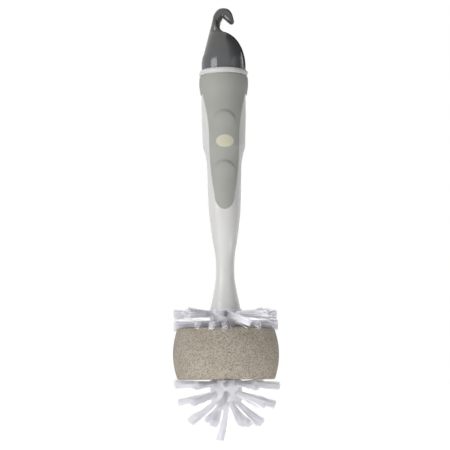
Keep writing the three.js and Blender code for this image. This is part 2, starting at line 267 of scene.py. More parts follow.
half = floorSetup["half"] * mm
floorZ = cadLow.z - floorSetup["drop"] * mm
floorMesh = bpy.data.meshes.new("floor")
floorMesh.from_pydata(
    [(-half, -half, floorZ), (half, -half, floorZ), (half, half, floorZ), (-half, half, floorZ)],
    [],
    [(0, 1, 2, 3)],
)
floor = bpy.data.objects.new("floor", floorMesh)
scene.collection.objects.link(floor)
floorPaint, tree, surface = newMaterial("white sweep of card")
seen = addNode(tree, "LightPath").outputs["Is Camera Ray"]
glow = addNode(tree, "Math", {0: seen, 1: floorSetup["glow"]}, operation="MULTIPLY")
setInputs(tree, surface, {"Base Color": shade(floorSetup["colour"]), "Roughness": floorSetup["roughness"]})
setInputs(tree, surface, {"Emission Color": white, "Emission Strength": glow.outputs[0]})
floorMesh.materials.append(floorPaint)

# The surroundings light softly, and are plain white to the camera, to mirrors and through the cap.
surroundings = {"light": 0.56, "seen": 1.0}

world = bpy.data.worlds.new("white studio")
scene.world = world
world.use_nodes = True
tree = world.node_tree
rays = addNode(tree, "LightPath").outputs
seen = rays["Is Camera Ray"]
for kind in ("Is Glossy Ray", "Is Transmission Ray"):
    seen = addNode(tree, "Math", {0: seen, 1: rays[kind]}, operation="MAXIMUM").outputs[0]
lit = addNode(tree, "Background", {"Color": white, "Strength": surroundings["light"]})
plain = addNode(tree, "Background", {"Color": white, "Strength": surroundings["seen"]})
both = addNode(tree, "MixShader", {0: seen, 1: lit.outputs[0], 2: plain.outputs[0]})
setInputs(tree, tree.nodes["World Output"], {"Surface": both.outputs[0]})

# Soft boxes: the main one on the left, low ones for the head and the hook's bevel, small ones behind
# on the right for the edges, and a large one behind for the back.
lamps = {
    "left soft box": {"at": (-760, -620, 60), "to": (0, 0, -150), "size": (560, 400), "watts": 3.0},
    "left low box": {"at": (-620, -540, -262), "to": (0, 0, -240), "size": (400, 70), "watts": 0.25},
    "left floor strip": {"at": (-180, -270, -300), "to": (-220, -170, 100), "size": (320, 80), "watts": 0.36},
    "front floor strip": {"at": (-30, -620, -300), "to": (-30, -500, 100), "size": (300, 120), "watts": 0.34},
    "under box": {"at": (-50, -50, -302), "to": (-50, -40, -200), "size": (360, 200), "watts": 0.27},
    "right low box": {"at": (350, -200, -285), "to": (0, 0, -250), "size": (200, 80), "watts": 0.32},
    "right edge box": {"at": (248, 143, 63), "to": (0, 0, -30), "size": (40, 70), "watts": 0.02},
    "right rim strip": {"at": (300, 175, -180), "to": (0, 0, -180), "size": (25, 220), "watts": 0.05},
    "back box": {"at": (150, 950, -60), "to": (0, 0, -140), "size": (800, 700), "watts": 1.9},
}
for name, lamp in lamps.items():
    light = bpy.data.lights.new(name, "AREA")
    light.shape = "RECTANGLE"
    light.size, light.size_y = [side * mm for side in lamp["size"]]
    light.energy = lamp["watts"]
    box = bpy.data.objects.new(name, light)
    box.location = Vector(lamp["at"]) * mm
    way = Vector(lamp["to"]) - Vector(lamp["at"])
    box.rotation_euler = way.to_track_quat("-Z", "Y").to_euler()
    scene.collection.objects.link(box)

# Graded films out of view on the right, beside the grip, behind and above. They keep light off that
# side and give the glossy cap its dark edges. Each is an upright sheet from one (x, y) to another,
# between two heights, and fades from clear to black over a span of y.
film = {"colour": "141414", "roughness": 0.9}
cards = {
    "side_card": {"from": (300, -700), "to": (300, 200), "low": 90, "high": 520, "fade": (-620, -120)},
    "low_card": {"from": (290, -160), "to": (290, 50), "low": -120, "high": 95, "fade": (-400, 60)},
    "grip_card": {"from": (230, -420), "to": (230, 40), "low": -160, "high": -40, "fade": (-420, -150)},
    "rear_card": {"from": (300, 190), "to": (50, 420), "low": 40, "high": 520, "fade": (-100, -90)},
    "top_card": {"from": (350, 400), "to": (-250, 400), "low": 330, "high": 900, "fade": (-100, -90)},
}
for name, card in cards.items():
    ends = [Vector((*card[end], 0)) for end in ("from", "to")]
    lows, highs = Vector((0, 0, card["low"])), Vector((0, 0, card["high"]))
    spots = (ends[0] + lows, ends[1] + lows, ends[1] + highs, ends[0] + highs)
    sheet = bpy.data.meshes.new(name)
    sheet.from_pydata([spot * mm for spot in spots], [], [(0, 1, 2, 3)])
    cardPaint, tree, surface = newMaterial("graded film")
    place = addNode(tree, "SeparateXYZ", {0: addNode(tree, "TexCoord").outputs["Object"]})
    clearY, darkY = [y * mm for y in card["fade"]]
    dark = addNode(tree, "MapRange", {0: place.outputs["Y"], 1: clearY, 2: darkY})
    setInputs(tree, surface, {"Base Color": shade(film["colour"]), "Roughness": film["roughness"]})
    clear = addNode(tree, "BsdfTransparent")
    graded = addNode(tree, "MixShader", {0: dark.outputs[0], 1: clear.outputs[0], 2: surface.outputs[0]})
    setInputs(tree, tree.nodes["Material Output"], {"Surface": graded.outputs[0]})
    sheet.materials.append(cardPaint)
    flag = bpy.data.objects.new(name, sheet)
    flag.visible_camera = False
    scene.collection.objects.link(flag)
print("stage ready")


# Materials

# White moulded plastic: a clean satin skin with the faint waviness of a moulding, in ripples of about
# 1.5 mm, and patches of about 2 cm that shine a little more or less.
def mouldedPlastic(name, light, dark, roughness):
    material, tree, surface = newMaterial(name)
    place = addNode(tree, "TexCoord").outputs["Object"]
    noise = addNode(tree, "TexNoise", {"Vector": place, "Scale": perMetre(22.2), "Detail": 3.0})
    patches = noise.outputs["Fac"]
    tint = addNode(tree, "Mix", {0: patches, 6: shade(dark), 7: shade(light)}, data_type="RGBA")
    shine = addNode(tree, "MapRange", {0: patches, 3: roughness - 0.05, 4: roughness + 0.05})
    peel = addNode(tree, "TexNoise", {"Vector": place, "Scale": perMetre(1.54), "Detail": 2.0})
    ripple = {"Height": peel.outputs["Fac"], "Strength": 0.06, "Distance": 0.2 * mm}
    bump = addNode(tree, "Bump", ripple)
    look = {"Base Color": tint.outputs[2], "Roughness": shine.outputs[0], "Normal": bump.outputs[0]}
    setInputs(tree, surface, look)
    return material


whitePlastic = mouldedPlastic("white moulded polypropylene", "d2d2d1", "cac9c8", 0.23)
corePlastic = mouldedPlastic("white moulded core plastic", "e4e4e8", "dadae0", 0.38)

# Soft grey rubber, moulded with an eroded grain of about half a millimetre: dull, as the grain breaks
# up the light, and a little cloudy. A blank pale oval is printed on it.
greyRubber, tree, surface = newMaterial("grey thermoplastic rubber")
place = addNode(tree, "TexCoord").outputs["Object"]
noise = addNode(tree, "TexNoise", {"Vector": place, "Scale": perMetre(16.7), "Detail": 4.0})
cloud = noise.outputs["Fac"]
tint = addNode(tree, "Mix", {0: cloud, 6: shade("969791"), 7: shade("a3a49f")}, data_type="RGBA")
inked = addNode(tree, "Attribute", attribute_name="print").outputs["Fac"]
printed = addNode(tree, "Mix", {0: inked, 6: tint.outputs[2], 7: shade("c6c4ae")}, data_type="RGBA")
noise = addNode(tree, "TexNoise", {"Vector": place, "Scale": perMetre(0.455), "Detail": 2.0})
grain = noise.outputs["Fac"]
bump = addNode(tree, "Bump", {"Height": grain, "Strength": 0.25, "Distance": 0.1 * mm})
dull = addNode(tree, "MapRange", {0: grain, 3: 0.55, 4: 0.75})
look = {"Base Color": printed.outputs[2], "Roughness": dull.outputs[0], "Normal": bump.outputs[0]}
setInputs(tree, surface, look)

# Smoke-tinted plastic: a deep grey that lets only a little light through, warmer towards the crown
# and cooler towards the rim by height, under a polished skin with faint flow marks of 3 mm.
smokePlastic, tree, surface = newMaterial("smoke tinted styrene")
place = addNode(tree, "TexCoord").outputs["Object"]
noise = addNode(tree, "TexNoise", {"Vector": place, "Scale": perMetre(11.1), "Detail": 2.0})
cloud = noise.outputs["Fac"]
height = addNode(tree, "SeparateXYZ", {0: place}).outputs["Z"]
rimToCrown = addNode(tree, "MapRange", {0: height, 1: -36 * mm, 2: -18 * mm})  # from the rim to the crown
rimTint, crownTint = [
    addNode(tree, "Mix", {0: cloud, 6: shade(dark), 7: shade(light)}, data_type="RGBA").outputs[2]
    for dark, light in (("53575b", "5a5e62"), ("555654", "5c5d5b"))
]
tint = addNode(tree, "Mix", {0: rimToCrown.outputs[0], 6: rimTint, 7: crownTint}, data_type="RGBA")
flow = addNode(tree, "TexNoise", {"Vector": place, "Scale": perMetre(3.33), "Detail": 1.0})
haze = addNode(tree, "MapRange", {0: flow.outputs["Fac"], 3: 0.06, 4: 0.12})
look = {"Base Color": tint.outputs[2], "Roughness": haze.outputs[0]}
setInputs(tree, surface, look | {"Transmission Weight": 0.2, "IOR": 1.59})

# Beige open-cell foam: dull, with pores of nearly a millimetre sunk into it and fainter cells 1.25 mm
# apart, both darkened by painted shade, and pale walls in clouds of 7 mm.
foam, tree, surface = newMaterial("beige open-cell foam")
place = addNode(tree, "TexCoord").outputs["Object"]
noise = addNode(tree, "TexNoise", {"Vector": place, "Scale": perMetre(7.14), "Detail": 4.0})
cloud = noise.outputs["Fac"]
tint = addNode(tree, "Mix", {0: cloud, 6: shade("978f82"), 7: shade("aca59a")}, data_type="RGBA")
# Painted shade: the sunk pores and the fine spots near each cell's seed are darkened towards 645848, as shade
# in the holes.
pores = addNode(tree, "Attribute", attribute_name="poreShade").outputs["Fac"]
voronoi = addNode(tree, "TexVoronoi", {"Vector": place, "Scale": perMetre(1.25)}, feature="F1")
cells = voronoi.outputs["Distance"]
finePoreShade = addNode(tree, "MapRange", {0: cells, 1: 0.15, 2: 0.55, 3: 0.6, 4: 0.0})
dark = addNode(tree, "Math", {0: pores, 1: finePoreShade.outputs[0]}, operation="MAXIMUM")
shadedFoamTint = addNode(
    tree, "Mix", {0: dark.outputs[0], 6: tint.outputs[2], 7: shade("645848")}, data_type="RGBA"
)
bump = addNode(tree, "Bump", {"Height": cells, "Strength": 0.6, "Distance": 0.4 * mm})
look = {"Base Color": shadedFoamTint.outputs[2], "Normal": bump.outputs[0]}
setInputs(tree, surface, look | {"Roughness": 0.95, "Specular IOR Level": 0.2})

# Milky nylon: each bristle a slightly different white with a soft shine along it.
nylon, tree, surface = newMaterial("milky nylon bristle")
tone = addNode(tree, "Attribute", attribute_name="tone").outputs["Fac"]
tint = addNode(tree, "Mix", {0: tone, 6: shade("f4f3fa"), 7: shade("fcfcff")}, data_type="RGBA")
setInputs(tree, surface, {"Base Color": tint.outputs[2], "Roughness": 0.35})

# Drawn steel wire: bright metal that shines unevenly, in drawing marks of about half a millimetre.
steel, tree, surface = newMaterial("drawn steel wire")
place = addNode(tree, "TexCoord").outputs["Object"]
noise = addNode(tree, "TexNoise", {"Vector": place, "Scale": perMetre(0.556), "Detail": 2.0})
marks = noise.outputs["Fac"]
shine = addNode(tree, "MapRange", {0: marks, 3: 0.18, 4: 0.34})
tint = addNode(tree, "Mix", {0: marks, 6: shade("a9abac"), 7: shade("c6c8c9")}, data_type="RGBA")
look = {"Base Color": tint.outputs[2], "Roughness": shine.outputs[0]}
setInputs(tree, surface, look | {"Metallic": 1.0})
print("materials ready")


# Handle

# The white shell: its outside as (radius, height) knots from the foot up, the collar and the cuts.
shell = {
    "outline": [
        (10.2, -196.5), (8, -186.4), (6.4, -177), (6.15, -168), (6.75, -159.2), (8.35, -150.5),
        (9.75, -140), (10.75, -130.5), (11.15, -119), (11.6, -104), (12.05, -97.4), (13.3, -91.6),
        (14.4, -87.6), (14.7, -80), (15.05, -68), (15.15, -55), (15.15, -40.5),
    ],
    "outlineSteps": 400,
    "footEdge": 1.5,
    "wall": 2.7,
    "tubeTop": -54,
    "tubeFoot": -125,
    "tubeEnd": -128,
    "tubeSteps": 40,
    "socket": 4.3,
    "socketTop": -177.5,
    "mouth": 12.6,
    "mouthLip": 1.2,
    "mouthFoot": -49,
    "collarFoot": -40.2,
    "collarTop": -36.4,
    "collarRadius": 16.5,
    "collarRound": 1.3,
    "collarSteps": 25,
    "columns": 192,
}
outline = curveThrough(shell["outline"], shell["outlineSteps"])


# The shell's outer radius at heights, read off its outline.
def shellRadius(height):
    return np.interp(height, outline[:, 1], outline[:, 0])


# The shell is one closed profile turned round the axis: socket, foot, outside, collar as half an
# ellipse, mouth, and the storage tube a wall's thickness inside the outline.
footRadius, footZ = shell["outline"][0]
edgeZ = footZ + shell["footEdge"]
foot = roundedPath([
    (0, shell["socketTop"], 0),
    (shell["socket"], shell["socketTop"], 0.3),
    (shell["socket"], footZ, 0.5),
    (footRadius, footZ, 0.25),
    (shellRadius(edgeZ), edgeZ, 0),
])
turn = np.linspace(-np.pi / 2, np.pi / 2, shell["collarSteps"])
collarMiddle = (shell["collarFoot"] + shell["collarTop"]) / 2
collarHalf = (shell["collarTop"] - shell["collarFoot"]) / 2
collarRadius = shell["collarRadius"] - shell["collarRound"] * (1 - np.cos(turn))
collar = np.stack([collarRadius, collarMiddle + collarHalf * np.sin(turn)], axis=-1)
mouth = roundedPath([
    (shell["mouth"] + shell["mouthLip"], shell["collarTop"], 0),
    (shell["mouth"], shell["collarTop"], 0.5),
    (shell["mouth"], shell["mouthFoot"], 0.3),
    (shellRadius(shell["tubeTop"]) - shell["wall"], shell["tubeTop"], 0),
])
tubeZ = np.linspace(shell["tubeTop"], shell["tubeFoot"], shell["tubeSteps"])
tube = np.stack([shellRadius(tubeZ) - shell["wall"], tubeZ], axis=-1)
tubeEnd = roundedPath([(*tube[-1], 0), (0, shell["tubeEnd"], 0)])
outside = outline[outline[:, 1] > edgeZ + 0.1]
profile = np.concatenate([foot, outside, collar, mouth, tube, tubeEnd])
mesh = skinOf("white_handle", turned(profile, shell["columns"]), crease=35)
addPiece(mesh, whitePlastic, "brush_body", ["handle_shell"])
print("handle built")

# The grip is a skin over the shell: a band all round the top, and below it a tongue on the front.
grip = {
    "top": -40.5,
    "bandFoot": -52.8,
    "bandCentre": -44.5,
    "bandReach": 8.4,
    "bandProud": 1.15,
    "bandTurn": 0.7,
    "runOut": 1.43,
    "runOutRise": 0.96,
    "proud": 0.15,
    "side": [
        (14.5, -52.8), (13.4, -57.4), (12.2, -63.4), (10.9, -71.7), (10.2, -80.5), (10.05, -90),
        (9.5, -100.7), (8.35, -111.6), (6.85, -121),
    ],
    "sideSteps": 300,
    "end": -131,
    "sink": 0.2,
    "fillet": 0.4,
    "rests": [{"top": -64.3, "radius": 8.7}, {"top": -97.6, "radius": 8.2}],
    "restRise": 1.25,
    "restShoulder": 0.33,
    "restLevel": 0.5,
    "restFade": 1.6,
    "oval": {"x": 0.5, "z": -85.9, "halfWidth": 5.8, "halfHeight": 4.1, "blur": 0.05},
    "frontColumns": 131,
    "backColumns": 101,
    "bandRows": 61,
    "tongueRows": 205,
    "endRows": 50,
}
side = curveThrough(grip["side"], grip["sideSteps"])[::-1]


# How far the grip stands over the shell: level on the tongue, swelling as a parabola at the band whose
# foot runs out in a second parabola.
def gripProud(height):
    away = np.abs(height - grip["bandCentre"]) / grip["bandReach"]
    runOut = grip["runOutRise"] * np.maximum(0, grip["runOut"] - away) ** 2
    return grip["proud"] + grip["bandProud"] * np.where(away < grip["bandTurn"], 1 - away**2, runOut)


# The tongue's half width at heights: its side curve, then half an ellipse to its lowest point.
def tongueWidth(height):
    endWidth, endTop = grip["side"][-1]
    share = np.clip((endTop - height) / (endTop - grip["end"]), 0, 1)
    straight = np.interp(height, side[:, 1], side[:, 0])
    return np.where(height > endTop, straight, endWidth * np.sqrt(1 - share**2))


# The raised pads that the thumb finds: discs with a rounded shoulder at their upper edge, which run
# out smoothly downwards.
def restHeight(x, z):
    rise = np.zeros_like(x)
    for rest in grip["rests"]:
        radius = rest["radius"]
        away = np.hypot(x, z - rest["top"] + radius) / radius
        fade = 1 - smoothStep(rest["top"] - z, grip["restLevel"] * radius, grip["restFade"] * radius)
        rise += grip["restRise"] * smoothStep(1 - away, 0, grip["restShoulder"]) * fade
    return rise


# The two layers of the grip over turns from the front and heights. The outer layer's radius is the
# shell's plus the grip's height, rounded off by a quarter circle near the outline; the inner layer lies
# just under the shell's surface and meets the outer one at the outline.
def gripLayers(turns, heights, edge):
    base = shellRadius(heights) - grip["sink"]
    rounding = np.clip(edge / grip["fillet"], 0, 1)
    level = np.sqrt(1 - (1 - rounding) ** 2)
    x = (base + gripProud(heights)) * np.sin(turns)
    front = np.cos(turns) > 0
    rise = np.where(front, restHeight(x, heights), 0)
    outer = base + (gripProud(heights) + grip["sink"] + rise) * level
    oval = grip["oval"]
    inOval = np.hypot((x - oval["x"]) / oval["halfWidth"], (heights - oval["z"]) / oval["halfHeight"])
    ink = np.where(front, smoothStep(1 - inOval, -oval["blur"], oval["blur"]), 0)
    layers = []
    for radius in (outer, base):
        layers.append(np.stack([radius * np.sin(turns), -radius * np.cos(turns), heights], axis=-1))
    return layers, ink


bandFoot = grip["bandFoot"]
openTurn = math.asin(grip["side"][0][0] / (shellRadius(bandFoot) + gripProud(bandFoot)))
across = easedSteps(grip["frontColumns"])
behind = np.linspace(openTurn, 2 * np.pi - openTurn, grip["backColumns"])[1:-1]
around = np.concatenate([across * openTurn, behind])
bandMiddle, bandHalf = (grip["top"] + bandFoot) / 2, (grip["top"] - bandFoot) / 2
bandHeights = bandMiddle - easedSteps(grip["bandRows"]) * bandHalf
turns, heights = np.meshgrid(around, bandHeights)
overTongue = np.maximum(0, openTurn - np.abs(np.where(turns > np.pi, turns - 2 * np.pi, turns)))
edge = np.hypot(heights - bandFoot, overTongue * shellRadius(heights))
edge = np.minimum(edge, grip["top"] - heights)
bandLayers, bandInk = gripLayers(turns, heights, edge)

endTop = grip["side"][-1][1]
straight = np.linspace(bandFoot, endTop, grip["tongueRows"])
quarter = np.linspace(0, np.pi / 2, grip["endRows"])
rounded = endTop + (grip["end"] - endTop) * np.sin(quarter)
tongueHeights = np.concatenate([straight, rounded[1:]])
widths = tongueWidth(tongueHeights)
reach = np.arcsin(np.minimum(1, widths / (shellRadius(tongueHeights) + gripProud(tongueHeights))))
turns = reach[:, None] * across
heights = np.broadcast_to(tongueHeights[:, None], turns.shape)
slope = np.gradient(widths, tongueHeights)[:, None]
edge = (reach[:, None] - np.abs(turns)) * shellRadius(heights) / np.sqrt(1 + slope**2)
tongueLayers, tongueInk = gripLayers(turns, heights, edge)

# The outer layer's sheets come first, then the inner layer's, whose faces point the other way.
points, faces, ink = [], [], []
offset = 0
for inside, (band, tongue) in enumerate(zip(bandLayers, tongueLayers)):
    for sheet, values, closed in ((band, bandInk, True), (tongue, tongueInk, False)):
        rows, columns = sheet.shape[:2]
        corners = gridFaces(rows, columns, closed, offset)
        faces.append(corners[:, ::-1] if inside else corners)
        points.append(sheet.reshape(-1, 3))
        ink.append(values.reshape(-1))
        offset += rows * columns
traits = {"print": np.concatenate(ink)}
points, faces, traits = welded(np.concatenate(points), np.concatenate(faces), traits)
mesh = meshOf("rubber_grip", points, faces, traits, crease=60)
addPiece(mesh, greyRubber, "brush_body", ["soft_grip"])
print("grip built")


# Hook cap

# The cap is a row of sections between a back edge and a front edge in the XZ plane. Stretch by stretch
# the edges go over the dome, up the stem round the throat, and over the crown to the tip.
cap = {
    "radius": 14.9,
    "foot": -36.38,
    "domeCentre": -33.2,
    "domeHeight": 23,
    "domeEnd": 78,
    "rimShare": 0.12,
    "wall": 2.3,
    "crownWall": 2.9,
    "back": [
        [
            (-14.9, -36.38), (-14.9, -31.2), (-14.4, -27.4), (-13.45, -24.6), (-12, -19.1), (-10.7, -14),
            (-9.6, -9.9),
        ],
        [(-9.6, -9.9), (-8.3, -5.3), (-7.25, -1), (-6.6, 1.8), (-5.1, 4.5), (-2.8, 6.45), (0.2, 7.05)],
        [(0.2, 7.05), (3.2, 6.45), (5.5, 4.2), (6.7, 1.1), (7.25, -1.4)],
    ],
    "throat": [
        [
            (1.4, -10.2), (0, -9.75), (-1, -9), (-1.85, -7.4), (-2.2, -5.5), (-1.75, -3.3), (-1, -1.6),
            (-0.5, -0.35), (0, 0),
        ],
        [(0, 0), (0.65, -0.25), (1.6, -1.15), (2.9, -2.4), (4.2, -3.45)],
    ],
    "tipRounding": 1.7,
    "fullness": 2.4,
    "depths": (7.4, 4.6, 2.6),
    "section": [
        (1, 0, 0), (1, 0.42, 0.08), (0.8, 0.73, 0.05), (0.34, 0.98, 0.05), (-0.7, 1, 0.26), (-1, 0.5, 0.3),
        (-1, 0, 0),
    ],
    "stemFlat": 0.9,
    "flatFrom": 0.45,
    "stemLean": 0.4,
    "leanIn": (0, 0.3),
    "leanOut": (0.4, 0.75),
    "edge": 0.15,
    "rings": (110, 90, 70),
    "tipRings": 8,
    "sectionSteps": 12,
    "edgeSoftening": 6,
    "depthSoftening": 8,
    "hollowRings": 40,
    "columns": 160,
}
domeShare, stemShare, armShare = [np.linspace(0, 1, count) for count in cap["rings"]]
back = np.concatenate([curveThrough(knots, count) for knots, count in zip(cap["back"], cap["rings"])])
rim = np.clip(domeShare / cap["rimShare"], 0, 1)
pastRim = np.clip((domeShare - cap["rimShare"]) / (1 - cap["rimShare"]), 0, 1)
overDome = np.radians(cap["domeEnd"]) * pastRim
domeZ = cap["foot"] + (cap["domeCentre"] - cap["foot"]) * rim + cap["domeHeight"] * np.sin(overDome)
domeFront = np.stack([cap["radius"] * np.cos(overDome), domeZ], axis=-1)
stemFront = curveThrough([domeFront[-1], *cap["throat"][0]], cap["rings"][1])
armFront = curveThrough(cap["throat"][1], cap["rings"][2])
front = np.concatenate([domeFront, stemFront, armFront])
stemDepth, crownDepth, tipDepth = cap["depths"]
depth = np.concatenate([
    stemDepth + (cap["radius"] - stemDepth) * np.sqrt(1 - domeShare ** cap["fullness"]),
    stemDepth + (crownDepth - stemDepth) * stemShare,
    crownDepth + (tipDepth - crownDepth) * armShare,
])
stemFlat = cap["stemFlat"] * smoothStep(stemShare, cap["flatFrom"], 1)
armFlat = cap["stemFlat"] + (1 - cap["stemFlat"]) * armShare
flat = np.concatenate([0 * domeShare, stemFlat, armFlat])
stemLean = smoothStep(stemShare, *cap["leanIn"]) * (1 - smoothStep(stemShare, *cap["leanOut"]))
lean = np.concatenate([0 * domeShare, cap["stemLean"] * stemLean, 0 * armShare])


# Rounds off the crease where two stretches meet: each row becomes a mean of it and its neighbours.
def softened(rows, times):
    rows = rows.copy()
    for _ in range(times):
        rows[1:-1] = (rows[:-2] + 2 * rows[1:-1] + rows[2:]) / 4
    return rows


back, front = [softened(edge, cap["edgeSoftening"]) for edge in (back, front)]
depth = softened(depth, cap["depthSoftening"])


# Sections of the cap: the line from back to front times the first part of a unit outline, and the
# depth times its second part. The outline goes from a circle to a rounded box with a bevel along the
# front edge as the flatness goes from 0 to 1, and its crest shifts back by the lean.
def capSections(back, front, depth, flat, lean):
    half = cap["columns"] // 2
    path = roundedPath(cap["section"], steps=cap["sectionSteps"])
    walked = np.concatenate([[0], np.cumsum(np.linalg.norm(np.diff(path, axis=0), axis=1))])
    even = np.linspace(0, walked[-1], half + 1)
    box = np.stack([np.interp(even, walked, path[:, i]) for i in (0, 1)], axis=-1)
    turn = np.linspace(0, np.pi, half + 1)
    circle = np.stack([np.cos(turn), np.sin(turn)], axis=-1)
    unit = circle + (box - circle) * flat[:, None, None]
    unit[..., 0] -= lean[:, None] * unit[..., 1] ** 2
    unit = np.concatenate([unit, (unit * [1, -1])[:, -2:0:-1]], axis=1)
    middle, reach = (back + front) / 2, (front - back) / 2
    place = middle[:, None] + reach[:, None] * unit[..., :1]
    return np.stack([place[..., 0], -depth[:, None] * unit[..., 1], place[..., 1]], axis=-1)


# The tip shrinks its last section along a quarter circle. Inside, a half ellipse hollows the dome.
outer = capSections(back, front, depth, flat, lean)
tipTurn = np.linspace(0, np.pi / 2, cap["tipRings"] + 1)[1:]
tipMiddle = outer[-1].mean(axis=0)
chord = back[-1] - front[-1]
tipWay = np.array([chord[1], 0, -chord[0]]) / np.linalg.norm(chord)
tipRings = tipMiddle + (outer[-1] - tipMiddle) * np.cos(tipTurn)[:, None, None]
tipRings = tipRings + tipWay * cap["tipRounding"] * np.sin(tipTurn)[:, None, None]
tipRings[-1] = tipRings[-1].mean(axis=0)
hollowRadius = cap["radius"] - cap["wall"]
rise = np.linspace(np.pi / 2, 0, cap["hollowRings"])
hollowZ = cap["domeCentre"] + (cap["domeHeight"] - cap["crownWall"]) * np.sin(rise)
hollowTop = np.stack([hollowRadius * np.cos(rise), hollowZ], axis=-1)
hollowTop[0, 0] = 0
edgeTop = cap["foot"] + 2 * cap["edge"]
base = roundedPath([
    (hollowRadius, cap["domeCentre"], 0),
    (hollowRadius, cap["foot"], cap["edge"] / 2),
    (cap["radius"], cap["foot"], cap["edge"]),
    (cap["radius"], edgeTop, 0),
])
inner = turned(np.concatenate([hollowTop, base]), cap["columns"])
above = outer[outer[:, :, 2].min(axis=1) > edgeTop]
mesh = skinOf("smoke_hook_cap", np.concatenate([inner, above, tipRings]), crease=50)
addPiece(mesh, smokePlastic, "cap_and_teat_brush", ["hook_cap"])
print("hook cap built")


# Teat brush

# The plug between cap and mouth: two rims, a floor and a boss that grips the wire, as one turned
# profile.
plug = {
    "radius": 12.3,
    "wall": 1.8,
    "top": -31.4,
    "floor": -39.9,
    "foot": -47.9,
    "boss": 4,
    "bossTaper": 0.3,
    "bossFoot": -53.9,
    "bore": 1.6,
    "boreTop": -42.6,
    "columns": 144,
}
plugInner = plug["radius"] - plug["wall"]
profile = roundedPath([
    (0, plug["boreTop"], 0),
    (plug["bore"], plug["boreTop"], 0.1),
    (plug["bore"], plug["bossFoot"], 0.3),
    (plug["boss"] - plug["bossTaper"], plug["bossFoot"], 0.6),
    (plug["boss"], plug["floor"] - plug["wall"], 0.8),
    (plugInner, plug["floor"] - plug["wall"], 0.8),
    (plugInner, plug["foot"], 0.4),
    (plug["radius"], plug["foot"], 0.7),
    (plug["radius"], plug["top"], 0.4),
    (plugInner, plug["top"], 0.4),
    (plugInner, plug["floor"], 0.8),
    (0, plug["floor"], 0),
])
mesh = skinOf("smoke_plug", turned(profile, plug["columns"]))
addPiece(mesh, smokePlastic, "cap_and_teat_brush", ["teat_plug"])

# One wire folded at its foot: its centre line goes down as a helix, round a half circle and up as the
# opposite helix, and its section is a circle square to that line.
wire = {"top": -42.9, "foot": -119.4, "strand": 0.62, "pitch": 7, "steps": 320, "bendSteps": 12, "sides": 12}
strand = wire["strand"]
low = wire["foot"] + 2 * strand
down = np.linspace(wire["top"] - wire["foot"] - 2 * strand, 0, wire["steps"])
bend = np.linspace(0, np.pi, wire["bendSteps"] + 2)[1:-1]
twist = 2 * np.pi * down / wire["pitch"]
helix = np.stack([strand * np.cos(twist), strand * np.sin(twist), low + down], axis=-1)
fold = np.stack([strand * np.cos(bend), 0 * bend, low - strand * np.sin(bend)], axis=-1)
line = np.concatenate([helix, fold, (helix * [-1, -1, 1])[::-1]])
way = np.gradient(line, axis=0)
way /= np.linalg.norm(way, axis=1, keepdims=True)
spare = [[0.31, 0.95, 0.07]]  # a direction that the line never takes
outward = np.cross(way, np.cross(spare, way))
outward /= np.linalg.norm(outward, axis=1, keepdims=True)
aside = np.cross(way, outward)
turn = np.linspace(0, 2 * np.pi, wire["sides"], endpoint=False)[:, None]
rings = line[:, None] + strand * (np.cos(turn) * outward[:, None] + np.sin(turn) * aside[:, None])
ends = [np.broadcast_to(line[i], rings[0].shape)[None] for i in (0, -1)]
mesh = skinOf("teat_brush_wire", np.concatenate([ends[0], rings, ends[1]]), crease=60)
addPiece(mesh, steel, "cap_and_teat_brush", ["teat_wire"])

# Bristles caught between the strands: they leave the wire along its twist and end on the small
# brush's outline, a cylinder with a rounded lower end.
teat = {
    "top": -68.3,
    "shoulder": -105,
    "foot": -116.6,
    "radius": 8,
    "endRadius": 5.2,
    "count": 2600,
    "bristle": 0.11,
    "root": 0.4,
    "fan": 0.28,
    "short": 0.03,
    "stray": 0.35,
    "seed": 5,
}
rng = np.random.default_rng(teat["seed"])
count = teat["count"]
height = np.sort(rng.uniform(teat["foot"], teat["top"], count))
angle = 2 * np.pi * (height - low) / wire["pitch"] + np.pi / 2 + np.pi * rng.integers(0, 2, count)
angle += rng.normal(0, teat["fan"], count)
below = np.clip((teat["shoulder"] - height) / (teat["shoulder"] - teat["foot"]), 0, 1)
reach = teat["endRadius"] + (teat["radius"] - teat["endRadius"]) * np.sqrt(1 - below**2)
reach *= 1 - teat["short"] * rng.random(count)
ways = np.stack([np.cos(angle), np.sin(angle), 0 * angle], axis=-1)
onAxis = np.stack([0 * height, 0 * height, height], axis=-1)
roots = onAxis + ways * teat["root"]
tips = onAxis + ways * reach[:, None]
tips[:, 2] = np.clip(height + rng.normal(0, teat["stray"], count), teat["foot"], teat["top"])
mesh = rodsMesh("teat_brush_nylon", roots, ways, tips, teat["bristle"], rng, sides=4, spans=2)
addPiece(mesh, nylon, "cap_and_teat_brush", ["teat_bristles"])
print("teat brush built")


# Brush head

# All tufts: their bristles, how these stand at the root and spread to the tip, and how far a tuft leans
# and a bristle strays or falls short.
tuft = {
    "bristles": 160,
    "bristle": 0.138,
    "seat": 3.0,
    "root": 1.75,
    "goldenTurn": 2.39996,
    "firstTurn": 6.28,
    "spread": 1.4,
    "spreadRange": (0.95, 1.05),
    "leanAside": 0.7,
    "leanUp": 0.5,
    "stray": 0.55,
    "wildShare": 0.1,
    "wildTimes": 3,
    "short": 3,
    "shortPower": 6,
    "seed": 11,
}
